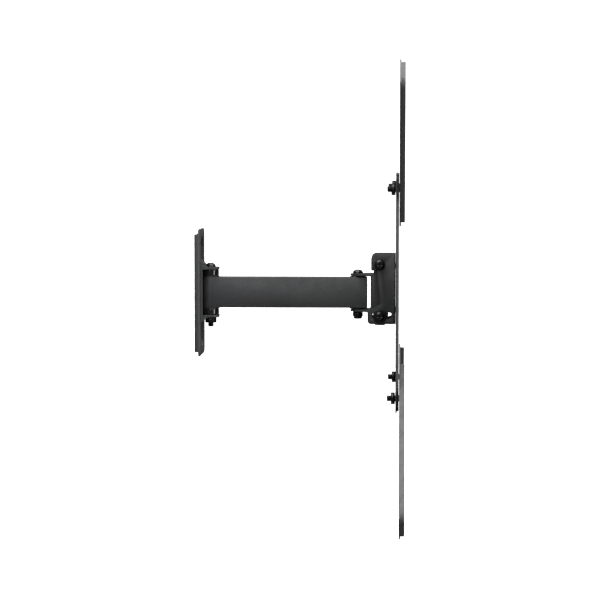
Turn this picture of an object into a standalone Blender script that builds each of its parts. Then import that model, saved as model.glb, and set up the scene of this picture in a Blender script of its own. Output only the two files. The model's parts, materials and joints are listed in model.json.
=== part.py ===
"""A full-motion wall mount for a flat screen: a wall plate, one swing arm, a tilting head and a
200 x 200 screen plate with four extension arms that reach a 400 x 400 hole pattern.

The origin is the centre of the wall plate's back. +X points from the wall to the screen, +Z is up.
Sizes are in millimetres, and MM turns them into Blender's metres when an object is made.
"""

import math

import bmesh
import bpy
from mathutils import Matrix, Vector

MM = 0.001
GAP = 0.3  # clearance between pieces that rest on each other

# Wall plate: one pressed sheet, with a trough for the pivot bracket
SHEET = 2.0
PLATE_WIDTH = 56.0
PLATE_HEIGHT = 127.0
PLATE_CORNER = 6.0
PLATE_DEPTH = 5.35
PLATE_EDGE_ROUND = 1.2
FLANGE_HEIGHT = 114.0  # the turned-back side edges are shorter than the plate
TROUGH_WIDTH = 30.8
TROUGH_HEIGHT = 113.0
WALL_HOLE_ACROSS = 22.0  # from the centre line to the outer holes
WALL_HOLE_UP = 47.5
WALL_SLOT_DOWN = -44.0
WALL_HOLE = 6.0
WALL_SLOT_LENGTH = 10.0
MIDDLE_HOLE_UP = 44.0  # holes in the trough's floor

# Pivot bracket: lies in the trough and holds the swing arm between two ears
BRACKET_WIDTH = 29.6
BRACKET_BOTTOM = -31.5
BRACKET_TOP = 32.5
BRACKET_SHEET = 1.5
BRACKET_RIM = 3.1  # height of its side rims over the web
EAR_SHEET = 2.2
EAR_WIDTH = 22.0
EAR_REACH = 22.55
GUSSET_RISE = 7.4  # how far the ears' sloped roots run along the web
GUSSET_REACH = 10.15

# Swing pivot: a bolt through spacers and nylon washers above and below the arm
SWING_X = 13.95
PIVOT_Z = 0.0
ARM_HEIGHT = 30.5
ARM_WIDTH = 16.6
ARM_SHEET = 2.0
SWING_TO_HEAD = 147.8
ARM_PAST_HEAD = 9.5
WASHER_SHEET = 1.0
WASHER_ROUND = 17.4
SPACER_ROUND = 16.6
SPACER_HEIGHT = 5.7
SLEEVE_ROUND = 12.0
BOLT = 6.0
BOLT_FIT = 0.6  # how much wider a hole is than its bolt
BOLT_HEAD = 10.2
BOLT_HEAD_HEIGHT = 4.1
NUT_FLATS = 10.0
NUT_HEIGHT = 5.6
SWING_TIP = 4.0

# Head pivot and yoke
CONE_HEIGHT = 1.05
CONE_SMALL = 12.0
CONE_LARGE = 16.3
YOKE_SHEET = 2.0
YOKE_WEB_X = 174.55
YOKE_WIDTH = 35.0
YOKE_EAR_END = 7.5  # radius round the head pivot
HEAD_BOLT_HEAD = 10.4
HEAD_BOLT_HEAD_HEIGHT = 3.8
TILT_X = 183.75
TILT_Z = 28.6
LOCK_Z = -22.8
TILT_LOBE = 6.0
YOKE_FLANGE_REACH = 8.5  # from the tilt pivot towards the screen
LOCK_LOBE = 4.2

# Tilt bracket: a channel round the yoke, fixed to the screen plate
TILT_SHEET = 2.0
TILT_GAP = 0.3
TILT_WEB_BACK = 199.35
TILT_TOP = 39.0
TILT_BOTTOM = -30.6
SLOT_HALF_WIDTH = BOLT / 2 + GAP
SLOT_FORWARD = 10.0  # degrees of arc on each side of the lock screw
SLOT_BACKWARD = 5.0
PAN_ROUND = 10.0
PAN_HEIGHT = 3.2
FLAT_WASHER_ROUND = 10.8
LOCK_WASHER_ROUND = 13.6  # spans the slot
FLAT_WASHER_SHEET = 1.0

# Screen plate and extension arms
SCREEN_Z = 4.7
SCREEN_HALF = 114.3
PATTERN_EDGE = 14.3  # from the plate's edge in to its outer screw pattern
PAD_OUTER = 11.0  # the raised corner pads run this far past the screws
PAD_INNER = 16.0  # and this far in from them
SCREEN_CORNER = 10.0
SCREEN_SHEET = 1.4
SCREEN_LIP = 3.2
SCREEN_LIP_HALF = SCREEN_HALF - 29.3
SCREEN_HOLE = 5.4
INNER_PATTERNS = (75.0, 100.0)
OUTER_PATTERN = 2 * (SCREEN_HALF - PATTERN_EDGE)
REACH_PATTERN = 400.0
EXTENSION_WIDTH = 32.0
EXTENSION_TAIL = 35.7  # from its bolt back to its inner end
EXTENSION_TIP = 11.8  # from its last hole out to its end
EXTENSION_SHEET = 1.5
EXTENSION_DEPTH = 5.3
EXTENSION_CORNER = 1.5
FLANGE_CORNER = 8.0  # the drawn flange rounds its outer corners inside the base's
FLANGE_SETBACK = 9.0  # the flanges start this far past the inner end
FIRST_SLOT = 48.6  # from the bolt
SLOT_STEP = 50.0
EXTENSION_SLOT = 6.5
EXTENSION_SLOT_LENGTH = 26.0
SMALL_BOLT = 6.0
SMALL_NUT_FLATS = 10.0
SMALL_NUT_HEIGHT = 4.0
SMALL_BOLT_TIP = 3.9
SMALL_HEAD_ROUND = 11.0
SMALL_HEAD_HEIGHT = 2.9
RIVET_ROUND = 5.0
RIVET_HEAD_ROUND = 9.0
RIVET_HEAD_HEIGHT = 1.6

for leftover in list(bpy.data.objects):
    bpy.data.objects.remove(leftover, do_unlink=True)


def finish(name, colour, roughness, metallic):
    """A plain Principled material."""
    material = bpy.data.materials.new(name)
    material.use_nodes = True
    shader = material.node_tree.nodes["Principled BSDF"]
    shader.inputs["Base Color"].default_value = (*colour, 1.0)
    shader.inputs["Roughness"].default_value = roughness
    shader.inputs["Metallic"].default_value = metallic
    return material


def pivot(name, x, y, z):
    """An empty on a joint's axis, which the pieces that turn there are parented to."""
    empty = bpy.data.objects.new(name, None)
    empty.location = Vector((x, y, z)) * MM
    bpy.context.scene.collection.objects.link(empty)
    return empty


def piece(name, bm, material, parent=None):
    """An object from a mesh drawn in millimetres, in its place in the assembly."""
    bmesh.ops.scale(bm, vec=(MM, MM, MM), verts=bm.verts)
    mesh = bpy.data.meshes.new(name)
    bm.to_mesh(mesh)
    bm.free()
    mesh.materials.append(material)
    mesh.shade_smooth()
    mesh.set_sharp_from_angle(angle=math.radians(35))
    made = bpy.data.objects.new(name, mesh)
    bpy.context.scene.collection.objects.link(made)
    if parent:
        made.parent = parent
        made.matrix_parent_inverse = Matrix.Translation(-parent.location)
    return made


def boolean(target, operation, bm):
    """Changes the target by a hidden helper solid: DIFFERENCE, UNION or INTERSECT."""
    count = len(target.modifiers) + 1
    helper = piece(f"{target.name}_{operation.lower()}_{count}", bm, target.data.materials[0])
    helper.parent = target.parent
    helper.matrix_parent_inverse = target.matrix_parent_inverse
    helper.hide_render = True
    helper.display_type = "WIRE"
    modifier = target.modifiers.new(helper.name, "BOOLEAN")
    modifier.operation = operation
    modifier.object = helper


def circle(x, y, radius, steps=16):
    """Points of a circle."""
    turns = [2 * math.pi * step / steps for step in range(steps)]
    return [(x + radius * math.cos(turn), y + radius * math.sin(turn)) for turn in turns]


def arc(x, y, radius, start, end, steps=8):
    """Points of an arc between two angles in degrees."""
    angles = [math.radians(start + (end - start) * step / steps) for step in range(steps + 1)]
    return [(x + radius * math.cos(angle), y + radius * math.sin(angle)) for angle in angles]


def slot(x, y, length, width, heading=0.0, steps=6):
    """A slot with round ends, its length along the heading in degrees."""
    reach = (length - width) / 2
    dx = reach * math.cos(math.radians(heading))
    dy = reach * math.sin(math.radians(heading))
    ahead = arc(x + dx, y + dy, width / 2, heading - 90, heading + 90, steps)
    behind = arc(x - dx, y - dy, width / 2, heading + 90, heading + 270, steps)
    return ahead + behind


def rounded(corners, steps=4):
    """An outline from corners (x, y, radius), each rounded where its radius isn't 0."""
    points = []
    for before, here, after in zip(corners[-1:] + corners[:-1], corners, corners[1:] + corners[:1]):
        corner = Vector(here[:2])
        if not here[2]:
            points.append(tuple(corner))
            continue
        back = (Vector(before[:2]) - corner).normalized()
        ahead = (Vector(after[:2]) - corner).normalized()
        half = back.angle(ahead) / 2
        centre = corner + (back + ahead).normalized() * here[2] / math.sin(half)
        first = corner + back * here[2] / math.tan(half) - centre
        last = corner + ahead * here[2] / math.tan(half) - centre
        for step in range(steps + 1):
            spoke = first.lerp(last, step / steps).normalized() * here[2]
            points.append(tuple(centre + spoke))
    return points


def placed(axis, along, a, b):
    """A point from its distance along an axis and its other two coordinates, in X, Y, Z order."""
    return {"X": (along, a, b), "Y": (a, along, b), "Z": (a, b, along)}[axis]


def slab(axis, low, high, outline, holes=()):
    """A solid between two heights on an axis: the outline less its holes."""
    bm = bmesh.new()
    for loop in (outline, *holes):
        verts = [bm.verts.new(placed(axis, low, a, b)) for a, b in loop]
        for ends in zip(verts, verts[1:] + verts[:1]):
            bm.edges.new(ends)
    bmesh.ops.triangle_fill(bm, use_beauty=True, edges=bm.edges)
    made = bmesh.ops.extrude_face_region(bm, geom=bm.faces)
    raised = [item for item in made["geom"] if isinstance(item, bmesh.types.BMVert)]
    bmesh.ops.translate(bm, verts=raised, vec=placed(axis, high - low, 0, 0))
    bmesh.ops.recalc_face_normals(bm, faces=bm.faces)
    return bm


def aimed(bm, origin, heading):
    """Moves a solid drawn up from 0, 0, 0 so that it starts at the origin and points along the heading."""
    turn = Vector((0, 0, 1)).rotation_difference(Vector(heading)).to_matrix().to_4x4()
    bmesh.ops.transform(bm, matrix=Matrix.Translation(origin) @ turn, verts=bm.verts)
    return bm


def turned(origin, heading, profile, steps=16):
    """A round solid: a profile of (radius, height) points turned about the heading."""
    bm = bmesh.new()
    verts = [bm.verts.new((radius, 0, height)) for radius, height in profile]
    hollow = min(radius for radius, _ in profile) > 0
    ends = verts[1:] + verts[:1] if hollow else verts[1:]
    edges = [bm.edges.new(pair) for pair in zip(verts, ends)]
    bmesh.ops.spin(bm, geom=verts + edges, axis=(0, 0, 1), cent=(0, 0, 0),
                   angle=2 * math.pi, steps=steps, use_merge=True)
    bmesh.ops.remove_doubles(bm, verts=bm.verts, dist=1e-4)
    bmesh.ops.recalc_face_normals(bm, faces=bm.faces)
    return aimed(bm, origin, heading)


def ring(origin, heading, outer, inner, height, steps=20, chamfer=0.3):
    """A washer, spacer or sleeve, from its two diameters."""
    wide = outer / 2
    profile = [(inner / 2, 0), (wide - chamfer, 0), (wide, chamfer),
               (wide, height - chamfer), (wide - chamfer, height), (inner / 2, height)]
    return turned(origin, heading, profile, steps)


def hexagon(a, b, flats, turn=0.0):
    """A hexagon's corners from its width across flats."""
    radius = flats / 2 / math.cos(math.pi / 6)
    return [(a + radius * math.cos(math.radians(turn + 60 * side)),
             b + radius * math.sin(math.radians(turn + 60 * side))) for side in range(6)]


def corners4(half_a, half_b, radius, centre_a=0.0, centre_b=0.0):
    """A rectangle's corners, for rounded()."""
    return [(centre_a + a * half_a, centre_b + b * half_b, radius)
            for a, b in ((-1, -1), (1, -1), (1, 1), (-1, 1))]


steel = finish("black_powder_coat", (0.045, 0.046, 0.048), 0.55, 0.0)
gloss = finish("gloss_black_nylon", (0.012, 0.012, 0.012), 0.2, 0.0)
nylon = finish("black_nylon", (0.02, 0.02, 0.02), 0.5, 0.0)
zinc = finish("black_zinc", (0.03, 0.03, 0.032), 0.35, 0.8)

UP, DOWN = (0, 0, 1), (0, 0, -1)
NEAR, FAR = (0, -1, 0), (0, 1, 0)
TO_WALL, TO_SCREEN = (-1, 0, 0), (1, 0, 0)


def dome_bolt(name, origin, heading, width, length, head, head_height, parent=None):
    """A bolt with a domed head and a hexagon socket; the origin is under the head."""
    flat = head * 0.22
    dome = arc(0, 0, 1.0, 15, 75, 3)
    crown = [(flat + (head / 2 - flat) * a, head_height * b) for a, b in dome]
    profile = [(0, -length), (width / 2 - 0.6, -length), (width / 2, 0.6 - length), (width / 2, 0),
               (head / 2, 0), *crown, (flat, head_height), (0, head_height)]
    made = piece(name, turned(origin, heading, profile), zinc, parent)
    socket = slab("Z", head_height * 0.45, head_height + 1, hexagon(0, 0, head * 0.36))
    boolean(made, "DIFFERENCE", aimed(socket, origin, heading))
    return made


def pan_screw(name, origin, heading, width, length, head, head_height, parent=None):
    """A screw with a rounded pan head and a cross recess; the origin is under the head."""
    flat = head * 0.3
    edge = arc(0, 0, 1.0, 10, 80, 3)
    crown = [(flat + (head / 2 - flat) * a, head_height * b) for a, b in edge]
    profile = [(0, -length), (width / 2 - 0.6, -length), (width / 2, 0.6 - length), (width / 2, 0),
               (head / 2, 0), *crown, (flat, head_height), (0, head_height)]
    made = piece(name, turned(origin, heading, profile), zinc, parent)
    blade, reach = head * 0.07, head * 0.27
    cross = [(blade, blade), (blade, reach), (-blade, reach), (-blade, blade),
             (-reach, blade), (-reach, -blade), (-blade, -blade), (-blade, -reach),
             (blade, -reach), (blade, -blade), (reach, -blade), (reach, blade)]
    recess = slab("Z", head_height * 0.35, head_height + 1, cross)
    boolean(made, "DIFFERENCE", aimed(recess, origin, heading))
    return made


def lock_nut(name, origin, heading, flats, height, bolt, turn=0.0, parent=None):
    """A hexagon nut with a round collar for its nylon ring; the origin is on its bearing face."""
    bore = (bolt + BOLT_FIT) / 2
    corner = flats / 2 / math.cos(math.pi / 6)
    collar = flats * 0.42
    hexagon_height = height * 0.68
    profile = [(bore, 0), (corner - 0.6, 0), (corner + 0.1, 0.5), (corner + 0.1, hexagon_height - 0.6),
               (collar + 0.3, hexagon_height + 0.3), (collar, height - 0.8), (collar - 0.8, height),
               (bore, height)]
    made = piece(name, turned(origin, heading, profile), zinc, parent)
    prism = slab("Z", -1, height + 1, hexagon(0, 0, flats, turn))
    boolean(made, "INTERSECT", aimed(prism, origin, heading))
    return made


def plain_nut(name, origin, heading, flats, height, bolt, turn=0.0, parent=None):
    """A hexagon nut with chamfered corners; the origin is on its bearing face."""
    bore = (bolt + BOLT_FIT) / 2
    corner = flats / 2 / math.cos(math.pi / 6)
    profile = [(bore, 0), (corner - 0.6, 0), (corner + 0.1, 0.5), (corner + 0.1, height - 0.5),
               (corner - 0.6, height), (bore, height)]
    made = piece(name, turned(origin, heading, profile), zinc, parent)
    prism = slab("Z", -1, height + 1, hexagon(0, 0, flats, turn))
    boolean(made, "INTERSECT", aimed(prism, origin, heading))
    return made


# The wall plate: its rim stands off the wall, and its trough's floor lies on it.
plate = rounded(corners4(PLATE_WIDTH / 2, PLATE_HEIGHT / 2, PLATE_CORNER))
block = slab("X", 0, PLATE_DEPTH, plate)
front_edges = [edge for edge in block.edges
               if all(vert.co.x > PLATE_DEPTH - 0.01 for vert in edge.verts) and len(edge.link_faces) == 2
               and abs(edge.calc_face_angle()) > 1]
bmesh.ops.bevel(block, geom=front_edges, offset=PLATE_EDGE_ROUND, segments=2, profile=0.5,
                affect="EDGES", material=-1)
wall_plate = piece("wall_plate", block, steel)
trough = rounded(corners4(TROUGH_WIDTH / 2, TROUGH_HEIGHT / 2, TROUGH_WIDTH / 2 - 0.5), 8)
boolean(wall_plate, "DIFFERENCE", slab("X", SHEET, PLATE_DEPTH + 1, trough))
inside = PLATE_WIDTH / 2 - SHEET
outside = PLATE_WIDTH / 2 + 1
past_end = PLATE_HEIGHT / 2 + 1
flange_end = FLANGE_HEIGHT / 2
back_outline = [(inside, -flange_end), (inside, flange_end), (outside, flange_end + SHEET + 1),
                (outside, past_end), (-outside, past_end), (-outside, flange_end + SHEET + 1),
                (-inside, flange_end), (-inside, -flange_end), (-outside, -flange_end - SHEET - 1),
                (-outside, -past_end), (outside, -past_end), (outside, -flange_end - SHEET - 1)]
trough_wall = rounded(corners4(TROUGH_WIDTH / 2 + SHEET, TROUGH_HEIGHT / 2 + SHEET,
                               TROUGH_WIDTH / 2 + SHEET - 0.5), 8)
boolean(wall_plate, "DIFFERENCE", slab("X", -1, PLATE_DEPTH - SHEET, back_outline, [trough_wall]))
for side in (-1, 1):
    across = side * WALL_HOLE_ACROSS
    boolean(wall_plate, "DIFFERENCE",
            slab("X", -1, PLATE_DEPTH + 1, circle(across, WALL_HOLE_UP, WALL_HOLE / 2)))
    boolean(wall_plate, "DIFFERENCE",
            slab("X", -1, PLATE_DEPTH + 1,
                 slot(across, WALL_SLOT_DOWN, WALL_SLOT_LENGTH, WALL_HOLE, 90)))
    boolean(wall_plate, "DIFFERENCE",
            slab("X", -1, PLATE_DEPTH + 1, circle(0, side * MIDDLE_HOLE_UP, WALL_HOLE / 2)))

# The pivot bracket: a web with low side rims, and two ears on sloped roots.
half_arm = ARM_HEIGHT / 2
ear_near = half_arm + GAP + WASHER_SHEET + GAP + SPACER_HEIGHT + GAP
ear_far = ear_near + EAR_SHEET
ear_top = PIVOT_Z + ear_far
ear_bottom = PIVOT_Z - ear_far
web_back = SHEET + GAP
web_front = web_back + BRACKET_SHEET
rim_front = web_front + BRACKET_RIM
side_view = [(web_back, BRACKET_BOTTOM), (web_back, BRACKET_TOP), (web_front, BRACKET_TOP),
             (rim_front, BRACKET_TOP - BRACKET_RIM), (rim_front, BRACKET_BOTTOM + BRACKET_RIM),
             (web_front, BRACKET_BOTTOM)]
half_bracket = BRACKET_WIDTH / 2
pivot_bracket = piece("pivot_bracket", slab("Y", -half_bracket, half_bracket, side_view), steel)
channel = corners4(half_bracket - BRACKET_SHEET, PLATE_HEIGHT, 0)
boolean(pivot_bracket, "DIFFERENCE",
        slab("X", web_front, rim_front + 1, [(a, b) for a, b, _ in channel]))
inside_web = web_back + BRACKET_SHEET / 2
ears = [(inside_web, ear_top + GUSSET_RISE), (web_front, ear_top + GUSSET_RISE),
        (GUSSET_REACH, ear_top + 1.4), (GUSSET_REACH + 1.5, ear_top), (EAR_REACH, ear_top),
        (EAR_REACH, PIVOT_Z + ear_near), (web_front - 0.5, PIVOT_Z + ear_near),
        (web_front - 0.5, PIVOT_Z - ear_near), (EAR_REACH, PIVOT_Z - ear_near),
        (EAR_REACH, ear_bottom), (GUSSET_REACH + 1.5, ear_bottom), (GUSSET_REACH, ear_bottom - 1.4),
        (web_front, ear_bottom - GUSSET_RISE + 1), (inside_web, ear_bottom - GUSSET_RISE + 1)]
bracket_ears = slab("Y", -EAR_WIDTH / 2, EAR_WIDTH / 2, ears)
boolean(pivot_bracket, "UNION", bracket_ears)
ear_corner = 7.0
ear_plan = rounded([(web_back - 1, -PLATE_WIDTH, 0), (rim_front + 0.4, -PLATE_WIDTH, 0),
                    (rim_front + 0.4, -EAR_WIDTH / 2 - 0.5, 0), (EAR_REACH, -EAR_WIDTH / 2 - 0.5, ear_corner),
                    (EAR_REACH, EAR_WIDTH / 2 + 0.5, ear_corner), (rim_front + 0.4, EAR_WIDTH / 2 + 0.5, 0),
                    (rim_front + 0.4, PLATE_WIDTH, 0), (web_back - 1, PLATE_WIDTH, 0)], 6)
boolean(pivot_bracket, "INTERSECT", slab("Z", -PLATE_HEIGHT, PLATE_HEIGHT, ear_plan))
boolean(pivot_bracket, "DIFFERENCE",
        slab("Z", -PLATE_HEIGHT, PLATE_HEIGHT, circle(SWING_X, 0, (BOLT + BOLT_FIT) / 2)))
nut_room = NUT_FLATS / 2 / math.cos(math.pi / 6) + GAP
for low, high in ((ear_top, PLATE_HEIGHT), (-PLATE_HEIGHT, ear_bottom)):
    boolean(pivot_bracket, "DIFFERENCE", slab("Z", low, high, circle(SWING_X, 0, nut_room)))

rivet_bore = RIVET_ROUND + BOLT_FIT


def rivet(name, origin, heading, grip, parent=None):
    """A rivet through a grip of sheets, with a low head on each side of them."""
    shank = RIVET_ROUND / 2
    head = RIVET_HEAD_ROUND / 2
    profile = [(0, -RIVET_HEAD_HEIGHT), (head * 0.6, -RIVET_HEAD_HEIGHT), (head, -0.5), (head, 0),
               (shank, 0), (shank, grip), (head, grip), (head, grip + 0.5),
               (head * 0.6, grip + RIVET_HEAD_HEIGHT), (0, grip + RIVET_HEAD_HEIGHT)]
    return piece(name, turned(origin, heading, profile, 12), zinc, parent)


# The swing pivot: above and below the arm a nylon washer and a spacer fill the way to the ear.
swing_stack = half_arm + GAP
for word, side, heading in (("upper", 1, UP), ("lower", -1, DOWN)):
    washer_z = PIVOT_Z + side * swing_stack
    spacer_z = washer_z + side * (WASHER_SHEET + GAP)
    piece(f"swing_washer_{word}",
          ring((SWING_X, 0, washer_z), heading, WASHER_ROUND, BOLT + BOLT_FIT, WASHER_SHEET), nylon)
    piece(f"swing_spacer_{word}",
          ring((SWING_X, 0, spacer_z), heading, SPACER_ROUND, BOLT + BOLT_FIT, SPACER_HEIGHT, 24, 0.5),
          gloss)
nut_bearing = ear_far + GAP
dome_bolt("swing_bolt", (SWING_X, 0, PIVOT_Z + nut_bearing), UP, BOLT,
          2 * nut_bearing + NUT_HEIGHT + SWING_TIP, BOLT_HEAD, BOLT_HEAD_HEIGHT)
plain_nut("swing_nut", (SWING_X, 0, PIVOT_Z - nut_bearing), DOWN, NUT_FLATS, NUT_HEIGHT, BOLT, 30)

# The swing arm: a strap folded into a U, whose round end wraps the swing pivot's sleeve.
swing_axis = pivot("swing_axis", SWING_X, 0, PIVOT_Z)
HEAD_X = SWING_X + SWING_TO_HEAD
arm_end = HEAD_X + ARM_PAST_HEAD
half_width = ARM_WIDTH / 2
wrap = arc(SWING_X, 0, half_width, 90, 270, 16)
inner_wrap = arc(SWING_X, 0, half_width - ARM_SHEET, 270, 90, 16)
strap = [(arm_end, half_width), *wrap, (arm_end, -half_width),
         (arm_end, ARM_SHEET - half_width), *inner_wrap, (arm_end, half_width - ARM_SHEET)]
piece("swing_arm", slab("Z", PIVOT_Z - half_arm, PIVOT_Z + half_arm, strap), steel, swing_axis)
for name, place_x in (("swing_sleeve", SWING_X), ("head_sleeve", HEAD_X)):
    piece(name, ring((place_x, 0, PIVOT_Z - half_arm), UP, SLEEVE_ROUND, BOLT + BOLT_FIT, ARM_HEIGHT),
          steel, swing_axis)

# The yoke: its ears hold the arm's end, and its side flanges carry the tilt and lock screws.
head_axis = pivot("head_axis", HEAD_X, 0, PIVOT_Z)
yoke_near = half_arm + GAP + CONE_HEIGHT + GAP
yoke_far = yoke_near + YOKE_SHEET
half_yoke = YOKE_WIDTH / 2
yoke_web_front = YOKE_WEB_X + YOKE_SHEET
flange_front = TILT_X + YOKE_FLANGE_REACH
yoke_channel = rounded([(YOKE_WEB_X, -half_yoke, 2.5), (flange_front + 1, -half_yoke, 0),
                        (flange_front + 1, YOKE_SHEET - half_yoke, 0),
                        (yoke_web_front, YOKE_SHEET - half_yoke, 0.8),
                        (yoke_web_front, half_yoke - YOKE_SHEET, 0.8),
                        (flange_front + 1, half_yoke - YOKE_SHEET, 0),
                        (flange_front + 1, half_yoke, 0), (YOKE_WEB_X, half_yoke, 2.5)])
lobe_top = TILT_Z + TILT_LOBE
lobe_bottom = LOCK_Z - LOCK_LOBE
web_top = PIVOT_Z + yoke_far - 0.2
web_bottom = PIVOT_Z - yoke_far + 0.2
step_x = TILT_X - TILT_LOBE
yoke_side = rounded([(YOKE_WEB_X - 1, web_bottom, 0), (YOKE_WEB_X - 1, web_top, 0),
                     (step_x, web_top, 0.6), (step_x, lobe_top, TILT_LOBE - 0.2),
                     (flange_front, lobe_top, TILT_LOBE - 0.2), (flange_front, lobe_bottom, LOCK_LOBE - 0.2),
                     (TILT_X - LOCK_LOBE, lobe_bottom, LOCK_LOBE - 0.2),
                     (TILT_X - LOCK_LOBE, web_bottom, 0.6)])
yoke = piece("yoke", slab("Z", lobe_bottom - 1, lobe_top + 1, yoke_channel), steel, head_axis)
boolean(yoke, "INTERSECT", slab("Y", -YOKE_WIDTH, YOKE_WIDTH, yoke_side))
ear_root = YOKE_WEB_X - 3.0
corner_away = Vector((ear_root - HEAD_X, half_yoke - 0.1))
tangent = math.degrees(math.atan2(corner_away.y, corner_away.x)
                       + math.acos(YOKE_EAR_END / corner_away.length))
yoke_ear = [(YOKE_WEB_X + YOKE_SHEET / 2, 0.1 - half_yoke), (YOKE_WEB_X + YOKE_SHEET / 2, half_yoke - 0.1),
            (ear_root, half_yoke - 0.1), *arc(HEAD_X, 0, YOKE_EAR_END, tangent, 360 - tangent, 10),
            (ear_root, 0.1 - half_yoke)]
for side in (-1, 1):
    low, high = sorted((PIVOT_Z + side * yoke_near, PIVOT_Z + side * yoke_far))
    boolean(yoke, "UNION", slab("Z", low, high, yoke_ear))
boolean(yoke, "DIFFERENCE",
        slab("Z", -YOKE_WIDTH, YOKE_WIDTH, circle(HEAD_X, 0, (BOLT + BOLT_FIT) / 2)))
for hole_z in (TILT_Z, LOCK_Z):
    boolean(yoke, "DIFFERENCE",
            slab("Y", -YOKE_WIDTH, YOKE_WIDTH, circle(TILT_X, hole_z, (BOLT + BOLT_FIT) / 2)))

# The head pivot: cone washers between the arm and the ears, a dome bolt above, a lock nut below.
for word, side, heading in (("upper", 1, UP), ("lower", -1, DOWN)):
    cone = [((BOLT + BOLT_FIT) / 2, 0), (CONE_LARGE / 2, 0), (CONE_LARGE / 2, 0.35),
            (CONE_SMALL / 2, CONE_HEIGHT), ((BOLT + BOLT_FIT) / 2, CONE_HEIGHT)]
    piece(f"head_washer_{word}", turned((HEAD_X, 0, PIVOT_Z + side * (half_arm + GAP)), heading, cone),
          gloss, head_axis)
head_bearing = yoke_far + GAP
HEAD_NUT_HEIGHT = 7.3
dome_bolt("head_bolt", (HEAD_X, 0, PIVOT_Z + head_bearing), UP, BOLT,
          2 * head_bearing + HEAD_NUT_HEIGHT - 1, HEAD_BOLT_HEAD, HEAD_BOLT_HEAD_HEIGHT, head_axis)
lock_nut("head_nut", (HEAD_X, 0, PIVOT_Z - head_bearing), DOWN, NUT_FLATS, HEAD_NUT_HEIGHT, BOLT,
         0, head_axis)

# The tilt bracket: a channel outside the yoke. Its arc slot rides on the lock screw.
tilt_axis = pivot("tilt_axis", TILT_X, 0, TILT_Z)
cheek_inner = half_yoke + TILT_GAP
cheek_outer = cheek_inner + TILT_SHEET
tilt_web_front = TILT_WEB_BACK - TILT_SHEET
cheek_end = TILT_X - 12.3
tilt_channel = rounded([(cheek_end - 1, -cheek_outer, 0), (TILT_WEB_BACK, -cheek_outer, 1.3),
                        (TILT_WEB_BACK, cheek_outer, 1.3), (cheek_end - 1, cheek_outer, 0),
                        (cheek_end - 1, cheek_inner, 0), (tilt_web_front, cheek_inner, 0.3),
                        (tilt_web_front, -cheek_inner, 0.3), (cheek_end - 1, -cheek_inner, 0)])
tilt_bracket = piece("tilt_bracket", slab("Z", TILT_BOTTOM - 2, TILT_TOP + 1, tilt_channel), steel,
                     tilt_axis)
notch = TILT_X + 3.1
shoulder = TILT_X - 8.6
notch_top = TILT_Z - 5.9
boss = 4.8
cheek = rounded([(shoulder, TILT_TOP, 5), (TILT_WEB_BACK + 1, TILT_TOP, 0),
                 (TILT_WEB_BACK + 1, TILT_BOTTOM, 0), (TILT_X + boss + 1, TILT_BOTTOM, 0.6),
                 (TILT_X + boss, TILT_BOTTOM - 1, 0.6), (TILT_X - boss + 0.8, TILT_BOTTOM - 1, 0.6),
                 (TILT_X - boss - 0.2, TILT_BOTTOM, 0.6), (cheek_end + 0.2, TILT_BOTTOM, 3.5),
                 (cheek_end + 0.2, LOCK_Z + 5.2, 2.5), (notch, LOCK_Z + 12.8, 4.5),
                 (notch, notch_top - 0.6, 1), (TILT_X - 3.6, notch_top + 1.2, 1),
                 (TILT_X - 6.3, notch_top, 0.4), (shoulder, notch_top, 1.5)])
boolean(tilt_bracket, "INTERSECT", slab("Y", -YOKE_WIDTH, YOKE_WIDTH, cheek))
slot_radius = TILT_Z - LOCK_Z
slot_start, slot_end = -90 - SLOT_BACKWARD, -90 + SLOT_FORWARD
lock_slot = [*arc(TILT_X, TILT_Z, slot_radius + SLOT_HALF_WIDTH, slot_start, slot_end, 6)]
for centre_angle, turn_from in ((slot_end, slot_end), (slot_start, slot_start + 180)):
    centre_x = TILT_X + slot_radius * math.cos(math.radians(centre_angle))
    centre_z = TILT_Z + slot_radius * math.sin(math.radians(centre_angle))
    cap = arc(centre_x, centre_z, SLOT_HALF_WIDTH, turn_from, turn_from + 180, 6)
    lock_slot += cap[1:-1]
    if centre_angle == slot_end:
        lock_slot += arc(TILT_X, TILT_Z, slot_radius - SLOT_HALF_WIDTH, slot_end, slot_start, 6)
boolean(tilt_bracket, "DIFFERENCE", slab("Y", -YOKE_WIDTH, YOKE_WIDTH, lock_slot))
boolean(tilt_bracket, "DIFFERENCE",
        slab("Y", -YOKE_WIDTH, YOKE_WIDTH, circle(TILT_X, TILT_Z, (BOLT + BOLT_FIT) / 2)))

# The tilt and lock screws: heads on the near side, nuts on the far side, washers under both.
for word, screw_z, washer_round in (("tilt", TILT_Z, FLAT_WASHER_ROUND), ("lock", LOCK_Z, LOCK_WASHER_ROUND)):
    washer_face = cheek_outer + GAP
    bearing = washer_face + FLAT_WASHER_SHEET + GAP
    pan_screw(f"{word}_screw", (TILT_X, -bearing, screw_z), NEAR, BOLT, 2 * bearing + NUT_HEIGHT + 1,
              PAN_ROUND, PAN_HEIGHT, head_axis)
    lock_nut(f"{word}_nut", (TILT_X, bearing, screw_z), FAR, NUT_FLATS, NUT_HEIGHT, BOLT, 0, head_axis)
    for side_word, side, heading in (("near", -1, NEAR), ("far", 1, FAR)):
        piece(f"{word}_washer_{side_word}",
              ring((TILT_X, side * washer_face, screw_z), heading, washer_round, BOLT + BOLT_FIT,
                   FLAT_WASHER_SHEET), zinc, head_axis)

# The screen plate: a flat square with low lips along the middle of its sides.
plate_back = TILT_WEB_BACK + GAP
plate_front = plate_back + SCREEN_SHEET


def across_plate(half, radius):
    """Four round holes at the corners of a square round the plate's centre."""
    return [circle(a * half, SCREEN_Z + b * half, radius, 12) for a in (-1, 1) for b in (-1, 1)]


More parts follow.
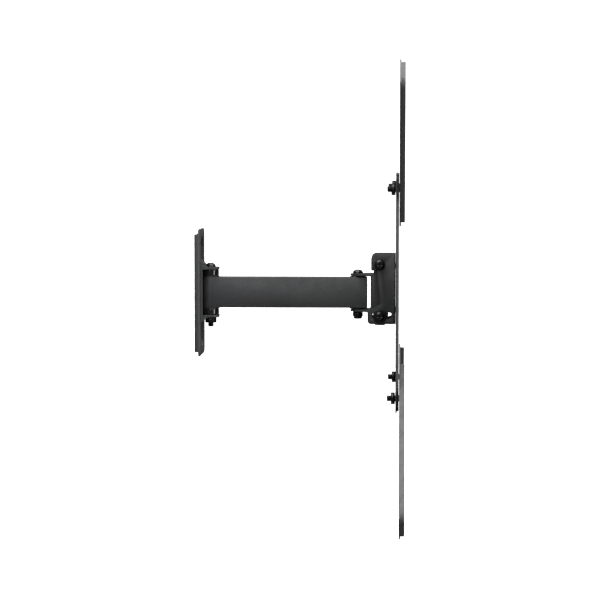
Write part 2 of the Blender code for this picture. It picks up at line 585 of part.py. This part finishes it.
openings = []
for spacing, hole in ((INNER_PATTERNS[0], SCREEN_HOLE), (INNER_PATTERNS[1], SCREEN_HOLE),
                      (OUTER_PATTERN, SMALL_BOLT + BOLT_FIT)):
    openings += across_plate(spacing / 2, hole / 2)
RIVET_ACROSS, RIVET_UP = 11.0, 22.0
rivet_places = [(a * RIVET_ACROSS, SCREEN_Z + b * RIVET_UP) for a in (-1, 1) for b in (-1, 1)]
openings += [circle(a, b, rivet_bore / 2, 12) for a, b in rivet_places]
vesa_plate = piece("screen_plate",
                   slab("X", plate_back, plate_back + SCREEN_LIP,
                        rounded(corners4(SCREEN_HALF, SCREEN_HALF, SCREEN_CORNER, 0, SCREEN_Z)), openings),
                   steel, tilt_axis)
lip_inner = SCREEN_HALF - SCREEN_SHEET
beyond = SCREEN_HALF + 1
pad_inner, pad_outer = OUTER_PATTERN / 2 - PAD_INNER, OUTER_PATTERN / 2 + PAD_OUTER
quarter = [(-pad_inner, -lip_inner), (pad_inner, -lip_inner), (pad_inner, -pad_inner)]
rim = rounded([(SCREEN_LIP_HALF, -pad_outer, 0), (pad_outer, -pad_outer, 4), (pad_outer, -SCREEN_LIP_HALF, 0),
               (beyond, -SCREEN_LIP_HALF - SCREEN_LIP, 0), (beyond, -beyond, 0),
               (SCREEN_LIP_HALF + SCREEN_LIP, -beyond, 0)], 3)
pocket = []
for quarter_turn in range(4):
    turn = Matrix.Rotation(math.pi / 2 * quarter_turn, 2)
    pocket += [tuple(turn @ Vector(point) + Vector((0, SCREEN_Z))) for point in quarter]
    corner = [tuple(turn @ Vector(point) + Vector((0, SCREEN_Z))) for point in rim]
    boolean(vesa_plate, "DIFFERENCE", slab("X", plate_front, plate_back + SCREEN_LIP + 1, corner))
boolean(vesa_plate, "DIFFERENCE", slab("X", plate_front, plate_back + SCREEN_LIP + 1, pocket))
for index, (across, up) in enumerate(rivet_places):
    hole = slab("X", TILT_X, plate_back + 1, circle(across, up, rivet_bore / 2, 12))
    boolean(tilt_bracket, "DIFFERENCE", hole)
    grip = SCREEN_SHEET + TILT_SHEET + 3 * GAP
    rivet(f"plate_rivet_{index + 1}", (tilt_web_front - GAP, across, up), TO_SCREEN, grip, tilt_axis)

# The extension arms: four equal channels on the diagonals, each bolted near the plate's corner.
extension_back = plate_back + SCREEN_LIP + GAP
bolt_reach = OUTER_PATTERN / math.sqrt(2)
end_hole = REACH_PATTERN / math.sqrt(2)
half_extension = EXTENSION_WIDTH / 2
extension_start = bolt_reach - EXTENSION_TAIL
extension_end = end_hole + EXTENSION_TIP
extension_outline = rounded([(extension_start, -half_extension, EXTENSION_CORNER),
                             (extension_end, -half_extension, EXTENSION_CORNER),
                             (extension_end, half_extension, EXTENSION_CORNER),
                             (extension_start, half_extension, EXTENSION_CORNER)])
channel_inner = half_extension - EXTENSION_SHEET
channel_end = extension_end - EXTENSION_SHEET
channel_corner = FLANGE_CORNER - EXTENSION_SHEET
clear = 1.0  # how far the cut runs past the blank
lip_start = extension_start + FLANGE_SETBACK
channel_outline = rounded([(extension_start - clear, -half_extension - clear, 0),
                           (lip_start - FLANGE_SETBACK / 2, -half_extension - clear, 0),
                           (lip_start, -channel_inner, 0), (channel_end, -channel_inner, channel_corner),
                           (channel_end, channel_inner, channel_corner), (lip_start, channel_inner, 0),
                           (lip_start - FLANGE_SETBACK / 2, half_extension + clear, 0),
                           (extension_start - clear, half_extension + clear, 0)])


def corner_outside(side):
    """What lies outside the drawn flange's round corner, on one side of the extension arm."""
    centre_x, centre_y = extension_end - FLANGE_CORNER, half_extension - FLANGE_CORNER
    points = [(extension_end + clear, side * centre_y)]
    for step in range(7):
        turn = math.pi / 2 * step / 6
        points.append((centre_x + FLANGE_CORNER * math.cos(turn),
                       side * (centre_y + FLANGE_CORNER * math.sin(turn))))
    return points + [(centre_x, side * (half_extension + clear)),
                     (extension_end + clear, side * (half_extension + clear))]


extension_holes = [circle(bolt_reach, 0, (SMALL_BOLT + BOLT_FIT) / 2, 12),
                   circle(end_hole, 0, EXTENSION_SLOT / 2 - 0.2, 12)]
for slot_at in (bolt_reach + FIRST_SLOT, bolt_reach + FIRST_SLOT + SLOT_STEP):
    extension_holes.append(slot(slot_at, 0, EXTENSION_SLOT_LENGTH, EXTENSION_SLOT))
for word, quarter_turn in (("upper_far", 0), ("upper_near", 1), ("lower_near", 2), ("lower_far", 3)):
    angle = math.radians(45 + 90 * quarter_turn)
    turn = Matrix.Translation((0, 0, SCREEN_Z)) @ Matrix.Rotation(angle, 4, "X")
    body = slab("X", extension_back, extension_back + EXTENSION_DEPTH, extension_outline, extension_holes)
    bmesh.ops.transform(body, matrix=turn, verts=body.verts)
    extension = piece(f"extension_{word}", body, steel, tilt_axis)
    room = slab("X", extension_back + EXTENSION_SHEET, extension_back + EXTENSION_DEPTH + 1, channel_outline)
    bmesh.ops.transform(room, matrix=turn, verts=room.verts)
    boolean(extension, "DIFFERENCE", room)
    for side in (-1, 1):
        corner = slab("X", extension_back + EXTENSION_SHEET, extension_back + EXTENSION_DEPTH + 1,
                      corner_outside(side))
        bmesh.ops.transform(corner, matrix=turn, verts=corner.verts)
        boolean(extension, "DIFFERENCE", corner)
    across = bolt_reach * math.cos(angle)
    up = SCREEN_Z + bolt_reach * math.sin(angle)
    head_x = extension_back + EXTENSION_SHEET + GAP
    shank = head_x - plate_back + GAP + SMALL_NUT_HEIGHT + SMALL_BOLT_TIP
    pan_screw(f"extension_screw_{word}", (head_x, across, up), TO_SCREEN, SMALL_BOLT, shank,
              SMALL_HEAD_ROUND, SMALL_HEAD_HEIGHT, tilt_axis)
    plain_nut(f"extension_nut_{word}", (plate_back - GAP, across, up), TO_WALL, SMALL_NUT_FLATS,
             SMALL_NUT_HEIGHT, SMALL_BOLT, 0, tilt_axis)
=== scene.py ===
import json
import math

import bmesh
import bpy
from mathutils import Matrix, Vector

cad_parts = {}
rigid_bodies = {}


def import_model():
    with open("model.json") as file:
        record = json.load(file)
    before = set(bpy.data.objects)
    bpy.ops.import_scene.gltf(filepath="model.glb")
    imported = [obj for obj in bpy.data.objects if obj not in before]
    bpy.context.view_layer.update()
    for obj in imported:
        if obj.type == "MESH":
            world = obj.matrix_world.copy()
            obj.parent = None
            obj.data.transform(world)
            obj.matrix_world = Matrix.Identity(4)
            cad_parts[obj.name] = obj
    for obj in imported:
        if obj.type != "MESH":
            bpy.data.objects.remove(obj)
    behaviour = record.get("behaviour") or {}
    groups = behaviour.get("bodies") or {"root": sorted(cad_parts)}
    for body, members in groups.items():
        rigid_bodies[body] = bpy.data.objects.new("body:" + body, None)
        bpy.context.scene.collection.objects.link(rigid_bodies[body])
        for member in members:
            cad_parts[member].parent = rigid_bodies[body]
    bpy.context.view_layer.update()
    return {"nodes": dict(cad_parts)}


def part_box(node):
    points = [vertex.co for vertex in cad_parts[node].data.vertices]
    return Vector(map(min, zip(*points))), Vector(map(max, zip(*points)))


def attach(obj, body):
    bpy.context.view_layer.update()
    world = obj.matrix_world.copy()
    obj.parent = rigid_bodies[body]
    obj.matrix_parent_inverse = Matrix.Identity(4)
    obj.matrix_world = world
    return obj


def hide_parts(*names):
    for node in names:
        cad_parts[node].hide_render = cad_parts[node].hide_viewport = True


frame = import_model()
MM = 0.001

# ---- Studio -------------------------------------------------------------------------------
# A glowing white sweep of paper under and behind the mount, a long lens a little above it,
# and soft boxes above, at the screen's side and in front.
sweep_low, sweep_back, sweep_half, sweep_top = -0.75, 2.2, 7.0, 6.0
sweep = bmesh.new()
bend = 1.2
corner = [sweep.verts.new((-sweep_half, -6.0, sweep_low)),
          sweep.verts.new((-sweep_half, sweep_back - bend, sweep_low))]
for step in range(1, 13):
    turn = math.pi / 2 * step / 12
    corner.append(sweep.verts.new((-sweep_half, sweep_back - bend + bend * math.sin(turn),
                                   sweep_low + bend - bend * math.cos(turn))))
corner.append(sweep.verts.new((-sweep_half, sweep_back, sweep_top)))
edges = [sweep.edges.new(pair) for pair in zip(corner, corner[1:])]
drawn = bmesh.ops.extrude_edge_only(sweep, edges=edges)["geom"]
bmesh.ops.translate(sweep, vec=(2 * sweep_half, 0, 0),
                    verts=[item for item in drawn if isinstance(item, bmesh.types.BMVert)])
bmesh.ops.recalc_face_normals(sweep, faces=sweep.faces)
paper_mesh = bpy.data.meshes.new("paper_sweep")
sweep.to_mesh(paper_mesh)
sweep.free()
paper_mesh.shade_smooth()
paper = bpy.data.materials.new("white_paper")
paper.use_nodes = True
paper_nodes = paper.node_tree.nodes
paper_shader = paper_nodes["Principled BSDF"]
paper_shader.inputs["Roughness"].default_value = 0.9
paper_shader.inputs["Specular IOR Level"].default_value = 0.1
paper_shader.inputs["Emission Strength"].default_value = 1.0
paper_shader.inputs["Emission Color"].default_value = (1, 1, 1, 1)
grain = paper_nodes.new("ShaderNodeTexNoise")
grain.inputs["Scale"].default_value = 3.0
tint = paper_nodes.new("ShaderNodeValToRGB")
tint.color_ramp.elements[0].color = (0.9, 0.9, 0.9, 1)
tint.color_ramp.elements[1].color = (0.95, 0.95, 0.95, 1)
paper.node_tree.links.new(grain.outputs["Fac"], tint.inputs["Fac"])
paper.node_tree.links.new(tint.outputs["Color"], paper_shader.inputs["Base Color"])
paper_mesh.materials.append(paper)
floor = bpy.data.objects.new("paper_sweep", paper_mesh)
floor.visible_diffuse = floor.visible_glossy = False
bpy.context.scene.collection.objects.link(floor)
bpy.context.scene.view_settings.view_transform = "Standard"

LENS, FILM_WIDTH = 129.3, 36.0
EYE = Vector((0.20305, -2.155, 0.1385))
YAW, PITCH = 2.64, 3.886
camera_data = bpy.data.cameras.new("camera")
camera_data.lens = LENS
camera_data.sensor_width = FILM_WIDTH
camera_data.clip_end = 50.0
camera = bpy.data.objects.new("camera", camera_data)
camera.location = EYE
camera.rotation_euler = (math.radians(90 - PITCH), 0, math.radians(YAW))
bpy.context.scene.collection.objects.link(camera)
bpy.context.scene.camera = camera

for name, size, place, power in (("top_box", (2.2, 2.2), (0.1, -0.3, 1.5), 72.0),
                                 ("screen_side_box", (0.7, 1.6), (1.75, -1.0, 0.3), 42.0),
                                 ("front_box", (0.9, 0.9), (-0.3, -2.6, 0.9), 13.0)):
    light = bpy.data.lights.new(name, "AREA")
    light.shape = "RECTANGLE"
    light.size, light.size_y = size
    light.energy = power
    lamp = bpy.data.objects.new(name, light)
    lamp.location = place
    aim = Vector((0.15, 0, 0.0)) - Vector(place)
    lamp.rotation_euler = aim.to_track_quat("-Z", "Y").to_euler()
    bpy.context.scene.collection.objects.link(lamp)

room = bpy.data.worlds.new("studio")
room.use_nodes = True
room.node_tree.nodes["Background"].inputs["Color"].default_value = (1, 1, 1, 1)
room.node_tree.nodes["Background"].inputs["Strength"].default_value = 0.18
bpy.context.scene.world = room

# ---- Wall plate and pivot bracket ---------------------------------------------------------
# Two pressings of steel sheet, spot-welded together and powder-coated fine matte black.
# The press leaves every edge a little round, and the coat is faintly pebbled.
COAT_DARK, COAT_LIGHT = (0.022, 0.023, 0.024), (0.038, 0.039, 0.041)
COAT_ROUGHNESS = 0.5
PRESSED_EDGE, THIN_EDGE = 0.35 * MM, 0.25 * MM
collection = bpy.context.scene.collection.objects


def noise_into(tree, scale, detail, roughness=0.6):
    """A noise texture on object coordinates."""
    place = tree.nodes.new("ShaderNodeTexCoord")
    noise = tree.nodes.new("ShaderNodeTexNoise")
    noise.inputs["Scale"].default_value = scale
    noise.inputs["Detail"].default_value = detail
    noise.inputs["Roughness"].default_value = roughness
    tree.links.new(place.outputs["Object"], noise.inputs["Vector"])
    return noise


def ramp_from(tree, noise, dark, light, low=0.35, high=0.65):
    """A colour ramp driven by a noise texture."""
    ramp = tree.nodes.new("ShaderNodeValToRGB")
    ramp.color_ramp.elements[0].position, ramp.color_ramp.elements[1].position = low, high
    ramp.color_ramp.elements[0].color = (*dark, 1)
    ramp.color_ramp.elements[1].color = (*light, 1)
    tree.links.new(noise.outputs["Fac"], ramp.inputs["Fac"])
    return ramp


def surface(name, dark, light, roughness, metallic, pebble, relief, patch=90.0, spread=0.08):
    """A finish whose tone and relief follow a fine pebble of that scale, with slow patches of gloss."""
    material = bpy.data.materials.new(name)
    material.use_nodes = True
    tree = material.node_tree
    shader = tree.nodes["Principled BSDF"]
    shader.inputs["Metallic"].default_value = metallic
    patches = noise_into(tree, patch, 3.0)
    speckle = noise_into(tree, pebble, 2.0, 0.7)
    tones = ramp_from(tree, speckle, dark, light)
    tree.links.new(tones.outputs["Color"], shader.inputs["Base Color"])
    gloss = ramp_from(tree, patches, (roughness - spread,) * 3, (roughness + spread,) * 3)
    tree.links.new(gloss.outputs["Color"], shader.inputs["Roughness"])
    bump = tree.nodes.new("ShaderNodeBump")
    bump.inputs["Strength"].default_value = relief
    bump.inputs["Distance"].default_value = 0.05 * MM
    tree.links.new(speckle.outputs["Fac"], bump.inputs["Height"])
    tree.links.new(bump.outputs["Normal"], shader.inputs["Normal"])
    return material


powder_coat = surface("powder_coat", COAT_DARK, COAT_LIGHT, COAT_ROUGHNESS, 0.0, 1400.0, 0.35)


def pressed(node, body, edge=PRESSED_EDGE, finish=powder_coat):
    """The pressing that a CAD node describes, its flats made whole and its edges rounded."""
    blank = bmesh.new()
    blank.from_mesh(frame["nodes"][node].data)
    bmesh.ops.remove_doubles(blank, verts=blank.verts, dist=0.002 * MM)
    bmesh.ops.dissolve_limit(blank, angle_limit=math.radians(1), verts=blank.verts, edges=blank.edges)
    mesh = bpy.data.meshes.new(f"{node}_pressed")
    blank.to_mesh(mesh)
    blank.free()
    mesh.materials.append(finish)
    mesh.shade_smooth()
    made = bpy.data.objects.new(f"{node}_pressed", mesh)
    collection.link(made)
    rounding = made.modifiers.new("edge_round", "BEVEL")
    rounding.width = edge
    rounding.segments = 2
    rounding.limit_method = "ANGLE"
    rounding.angle_limit = math.radians(40)
    rounding.harden_normals = True
    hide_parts(node)
    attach(made, body)
    return made


pressed("wall_plate", "wall")
pressed("pivot_bracket", "wall")

# ---- Swing pivot --------------------------------------------------------------------------
# A black M6 dome bolt and plain nut clamp two gloss spacers and nylon washers on the arm. All
# are turned or headed parts, so each is its profile spun round its axis.
M6, M6_PITCH, M6_FLATS = 6.0 * MM, 1.0 * MM, 10.0 * MM
UP, DOWN, NEAR, FAR = Vector((0, 0, 1)), Vector((0, 0, -1)), Vector((0, -1, 0)), Vector((0, 1, 0))
TO_WALL, TO_SCREEN = Vector((-1, 0, 0)), Vector((1, 0, 0))
black_zinc = surface("black_zinc", (0.028, 0.028, 0.030), (0.042, 0.042, 0.045), 0.22, 0.9, 2600.0, 0.12,
                     400.0, 0.05)
gloss_black = surface("gloss_black", (0.008, 0.008, 0.009), (0.011, 0.011, 0.012), 0.16, 0.0, 900.0, 0.05,
                      150.0, 0.03)
nylon = surface("nylon", (0.014, 0.014, 0.014), (0.020, 0.020, 0.020), 0.55, 0.0, 1800.0, 0.2)


def span(node, heading):
    """Where a node starts along a heading, on its middle line, its length and its half width."""
    low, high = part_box(node)
    size = high - low
    length = abs(size.dot(heading))
    wide = max(size[axis] for axis in range(3) if not heading[axis]) / 2
    return (low + high) / 2 - heading * length / 2, length, wide


def lathe(profile, start, heading, steps=48):
    """A profile of (radius, height) spun about the heading from its start point."""
    spun = bmesh.new()
    verts = [spun.verts.new((radius, 0, height)) for radius, height in profile]
    hollow = min(radius for radius, _ in profile) > 0
    ends = verts[1:] + verts[:1] if hollow else verts[1:]
    edges = [spun.edges.new(pair) for pair in zip(verts, ends)]
    bmesh.ops.spin(spun, geom=verts + edges, axis=(0, 0, 1), cent=(0, 0, 0), angle=2 * math.pi,
                   steps=steps, use_merge=True)
    bmesh.ops.remove_doubles(spun, verts=spun.verts, dist=0.001 * MM)
    bmesh.ops.recalc_face_normals(spun, faces=spun.faces)
    return aimed(spun, start, heading)


def aimed(solid, start, heading):
    """Points a solid that was drawn upwards from the origin along the heading, from its start."""
    turn = UP.rotation_difference(heading).to_matrix().to_4x4()
    bmesh.ops.transform(solid, matrix=Matrix.Translation(start) @ turn, verts=solid.verts)
    return solid


def part(name, solid, finish, smooth_to=32):
    """An object from a bmesh."""
    mesh = bpy.data.meshes.new(name)
    solid.to_mesh(mesh)
    solid.free()
    mesh.materials.append(finish)
    mesh.shade_smooth()
    mesh.set_sharp_from_angle(angle=math.radians(smooth_to))
    made = bpy.data.objects.new(name, mesh)
    collection.link(made)
    return made


def trimmed(made, operation, solid):
    """Applies a Boolean with a solid that is then thrown away."""
    tool = part("tool", solid, made.data.materials[0])
    trim = made.modifiers.new("trim", "BOOLEAN")
    trim.operation = operation
    trim.object = tool
    bpy.context.view_layer.update()
    shaped = bpy.data.meshes.new_from_object(made.evaluated_get(bpy.context.evaluated_depsgraph_get()))
    made.modifiers.clear()
    made.data = shaped
    bpy.data.objects.remove(tool)
    return made


def fitted(made, node, body):
    """Hides the node that a piece stands for and attaches the piece to what it moves with."""
    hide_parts(node)
    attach(made, body)
    return made


def thread(width, pitch, start, end):
    """The zigzag of a thread's crests and roots, from one height up to another."""
    depth = pitch * 0.5
    crests = int((end - start) / pitch)
    points = []
    for crest in range(crests):
        height = start + crest * pitch
        points += [(width / 2 - depth, height), (width / 2, height + pitch * 0.4),
                   (width / 2, height + pitch * 0.6)]
    return points


def prism(outline, low, high):
    """An outline in X and Y, extruded upwards."""
    solid = bmesh.new()
    loop = [solid.verts.new((x, y, low)) for x, y in outline]
    face = solid.faces.new(loop)
    made = bmesh.ops.extrude_face_region(solid, geom=[face])["geom"]
    bmesh.ops.translate(solid, vec=(0, 0, high - low),
                        verts=[item for item in made if isinstance(item, bmesh.types.BMVert)])
    bmesh.ops.recalc_face_normals(solid, faces=solid.faces)
    return solid


def hexagon(flats, turn=0.0):
    """A hexagon's corners from its width across flats."""
    radius = flats / 2 / math.cos(math.pi / 6)
    return [(radius * math.cos(math.radians(turn + 60 * side)),
             radius * math.sin(math.radians(turn + 60 * side))) for side in range(6)]


def dome_bolt(node, body, heading, head_height, threaded=10 * MM):
    """A bolt with a smooth dome head, a hexagon socket and a threaded end."""
    start, length, head = span(node, heading)
    under = length - head_height
    flat = head * 0.1
    curve = [math.radians(10 + 8 * step) for step in range(10)]
    crown = [(flat + (head - flat) * math.cos(angle), under + head_height * math.sin(angle))
             for angle in curve]
    profile = [(0, 0), (M6 * 0.38, 0), *thread(M6, M6_PITCH, 0.4 * MM, threaded),
               (M6 / 2, threaded + 0.5 * MM), (M6 / 2, under), (head - 0.2 * MM, under),
               (head, under + 0.2 * MM), *crown, (flat, length), (0, length)]
    made = part(f"{node}_turned", lathe(profile, start, heading), black_zinc)
    socket = prism(hexagon(head * 0.74), length - head_height * 0.6, length + MM)
    trimmed(made, "DIFFERENCE", aimed(socket, start, heading))
    return fitted(made, node, body)


def lock_nut(node, body, heading, flats, bolt, turn=0.0):
    """A lock nut: chamfered hexagon, and the round collar that is rolled over its nylon ring."""
    start, length, _ = span(node, heading)
    bore, reach = bolt / 2 + 0.25 * MM, flats / 2 / math.cos(math.pi / 6)
    collar, hexagon_top = flats * 0.42, length * 0.68
    roll = [(collar - 0.9 * MM + 0.9 * MM * math.cos(math.radians(15 * step)),
             length - 0.9 * MM + 0.9 * MM * math.sin(math.radians(15 * step))) for step in range(7)]
    profile = [(bore, 0), (reach - 0.7 * MM, 0), (reach + 0.05 * MM, 0.45 * MM),
               (reach + 0.05 * MM, hexagon_top - 0.5 * MM), (collar + 0.5 * MM, hexagon_top),
               (collar + 0.1 * MM, hexagon_top + 0.15 * MM), (collar, hexagon_top + 0.5 * MM), *roll,
               (bore + 0.5 * MM, length), (bore, length - 0.5 * MM)]
    made = part(f"{node}_turned", lathe(profile, start, heading), black_zinc)
    trimmed(made, "INTERSECT", aimed(prism(hexagon(flats, turn), -MM, length + MM), start, heading))
    return fitted(made, node, body)


def ring(node, body, heading, bore, finish, soft=0.35 * MM):
    """A washer, spacer or sleeve with rounded rims."""
    start, length, wide = span(node, heading)
    quarter = [math.radians(22.5 * step) for step in range(5)]
    low_rim = [(wide - soft + soft * math.sin(angle), soft - soft * math.cos(angle)) for angle in quarter]
    high_rim = [(wide - soft + soft * math.cos(angle), length - soft + soft * math.sin(angle))
                for angle in quarter]
    profile = [(bore, 0), *low_rim, *high_rim, (bore, length)]
    made = part(f"{node}_turned", lathe(profile, start, heading, 64), finish)
    return fitted(made, node, body)


def plain_nut(node, body, heading, flats, bolt, turn=0.0):
    """A plain nut: a hexagon with both faces chamfered and its bore countersunk."""
    start, length, _ = span(node, heading)
    bore, reach = bolt / 2 + 0.25 * MM, flats / 2 / math.cos(math.pi / 6)
    profile = [(bore + 0.4 * MM, 0), (reach - 0.7 * MM, 0), (reach + 0.05 * MM, 0.45 * MM),
               (reach + 0.05 * MM, length - 0.45 * MM), (reach - 0.7 * MM, length),
               (bore + 0.4 * MM, length), (bore, length - 0.4 * MM), (bore, 0.4 * MM)]
    made = part(f"{node}_turned", lathe(profile, start, heading), black_zinc)
    trimmed(made, "INTERSECT", aimed(prism(hexagon(flats, turn), -MM, length + MM), start, heading))
    return fitted(made, node, body)


CLEARANCE = 0.3 * MM
for word, heading in (("upper", UP), ("lower", DOWN)):
    ring(f"swing_spacer_{word}", "wall", heading, M6 / 2 + CLEARANCE, gloss_black, 0.6 * MM)
    ring(f"swing_washer_{word}", "wall", heading, M6 / 2 + CLEARANCE, nylon)
dome_bolt("swing_bolt", "wall", UP, 4.1 * MM)
plain_nut("swing_nut", "wall", DOWN, M6_FLATS, M6, 30)

# ---- Swing arm ----------------------------------------------------------------------------
# A 2 mm steel strap folded into a U round the swing pivot, coated like the plates. Two steel
# sleeves welded inside it carry the pivot bolts.
pressed("swing_arm", "arm")
for node in ("swing_sleeve", "head_sleeve"):
    ring(node, "arm", UP, M6 / 2 + CLEARANCE, powder_coat)

# ---- Yoke and head pivot ------------------------------------------------------------------
# The yoke is one folded pressing. Gloss cone washers seat its two ears on the arm, under an M6
# dome bolt whose lock nut hides the thread's end.
pressed("yoke", "head")
for word, heading in (("upper", UP), ("lower", DOWN)):
    node = f"head_washer_{word}"
    start, length, wide = span(node, heading)
    top, bore = wide * 0.74, M6 / 2 + CLEARANCE
    cone = [(bore, 0), (wide - 0.15 * MM, 0), (wide, 0.15 * MM), (wide, 0.45 * MM),
            (wide - 0.2 * MM, 0.65 * MM), (top + 0.2 * MM, length - 0.1 * MM), (top, length),
            (bore, length)]
    fitted(part(f"{node}_turned", lathe(cone, start, heading, 64), gloss_black), node, "head")
dome_bolt("head_bolt", "head", UP, 3.8 * MM)
lock_nut("head_nut", "head", DOWN, M6_FLATS, M6)

# ---- Tilt bracket and its screws ----------------------------------------------------------
# A channel bent from 2 mm sheet, on two M6 pan screws with cross recesses. The lower one clamps
# the arc slot, and each has a flat washer under its head and its nut.


def pan_screw(node, body, heading, head_height, width, pitch, threaded=8 * MM):
    """A screw with a rounded pan head, a cross recess and a threaded end."""
    start, length, head = span(node, heading)
    under = length - head_height
    flat = head * 0.5
    curve = [math.radians(8 + 8 * step) for step in range(11)]
    crown = [(flat + (head - flat) * math.cos(angle), under + head_height * math.sin(angle))
             for angle in curve]
    profile = [(0, 0), (width * 0.38, 0), *thread(width, pitch, 0.4 * MM, threaded),
               (width / 2, threaded + 0.5 * MM), (width / 2, under), (head - 0.2 * MM, under),
               (head, under + 0.2 * MM), *crown, (flat, length), (0, length)]
    made = part(f"{node}_turned", lathe(profile, start, heading), black_zinc)
    blade, reach = head * 0.13, head * 0.56
    cross = [(blade, blade), (blade, reach), (-blade, reach), (-blade, blade), (-reach, blade),
             (-reach, -blade), (-blade, -blade), (-blade, -reach), (blade, -reach), (blade, -blade),
             (reach, -blade), (reach, blade)]
    recess = prism(cross, length - head_height * 0.65, length + MM)
    trimmed(made, "DIFFERENCE", aimed(recess, start, heading))
    return fitted(made, node, body)


pressed("tilt_bracket", "screen")
for word in ("tilt", "lock"):
    pan_screw(f"{word}_screw", "head", NEAR, 3.2 * MM, M6, M6_PITCH)
    lock_nut(f"{word}_nut", "head", FAR, M6_FLATS, M6)
    ring(f"{word}_washer_near", "head", NEAR, M6 / 2 + CLEARANCE, black_zinc, 0.2 * MM)
    ring(f"{word}_washer_far", "head", FAR, M6 / 2 + CLEARANCE, black_zinc, 0.2 * MM)

# ---- Screen plate and rivets --------------------------------------------------------------
# A 1.4 mm pressing with low stiffening lips, riveted to the tilt bracket by four flat-headed
# steel rivets.
pressed("screen_plate", "screen", THIN_EDGE)
RIVET_SHANK, RIVET_DOME = 2.5 * MM, 1.6 * MM
for index in range(1, 5):
    node = f"plate_rivet_{index}"
    start, length, head = span(node, TO_SCREEN)
    quarter = [math.radians(9 * step) for step in range(1, 10)]
    first = [(head * math.sin(angle), RIVET_DOME - RIVET_DOME * math.cos(angle)) for angle in quarter]
    last = [(head * math.cos(angle), length - RIVET_DOME + RIVET_DOME * math.sin(angle)) for angle in quarter]
    profile = [(0, 0), *first, (RIVET_SHANK, RIVET_DOME), (RIVET_SHANK, length - RIVET_DOME),
               *last, (0, length)]
    fitted(part(f"{node}_headed", lathe(profile, start, TO_SCREEN), black_zinc), node, "screen")

# ---- Extension arms -----------------------------------------------------------------------
# Four equal shallow trays drawn from 1.5 mm sheet, open at their inner ends. Each has one M6
# screw through the plate's corner pad, with its nut on the plate's wall side.
for word in ("upper_far", "upper_near", "lower_near", "lower_far"):
    pressed(f"extension_{word}", "screen", THIN_EDGE)
    pan_screw(f"extension_screw_{word}", "screen", TO_SCREEN, 2.9 * MM, M6, M6_PITCH)
    plain_nut(f"extension_nut_{word}", "screen", TO_WALL, M6_FLATS, M6)
